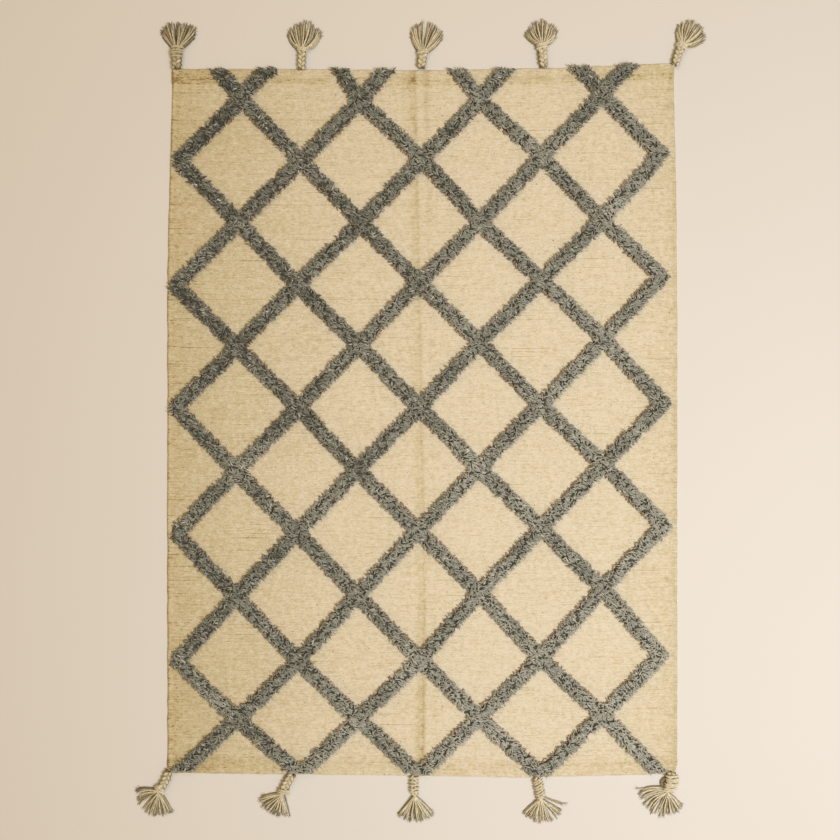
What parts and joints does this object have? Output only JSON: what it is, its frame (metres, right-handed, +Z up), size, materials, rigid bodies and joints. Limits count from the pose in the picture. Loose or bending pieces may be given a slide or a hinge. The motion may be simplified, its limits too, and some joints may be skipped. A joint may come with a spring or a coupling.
{
  "type": "kilim rug",
  "caption": "Flat-woven cream wool rug with a raised blue-grey shag diamond trellis, folded end hems and braided yarn tassels along both ends.",
  "frame": {"origin": "on the surface that the rug lies on, under the middle of the whole rug with its tassels", "axes": "+X across the rug to its right edge, +Y along it to its top end, +Z up out of its face"},
  "size_m": [1.707, 2.4088, 0.0231],
  "materials": {
    "ground_wool": "matt weft-faced wool weave with fine ribs",
    "pile_wool": "matt long wool pile in mottled blue-grey",
    "tassel_yarn": "matt plied wool yarn"
  },
  "bodies": {
    "root": {"ground": "ground_wool", "pile_trellis": "pile_wool", "tassel_top_1": "tassel_yarn", "tassel_top_2": "tassel_yarn", "tassel_top_3": "tassel_yarn", "tassel_top_4": "tassel_yarn", "tassel_top_5": "tassel_yarn", "tassel_bottom_1": "tassel_yarn", "tassel_bottom_2": "tassel_yarn", "tassel_bottom_3": "tassel_yarn", "tassel_bottom_4": "tassel_yarn", "tassel_bottom_5": "tassel_yarn"}
  },
  "joints": []
}
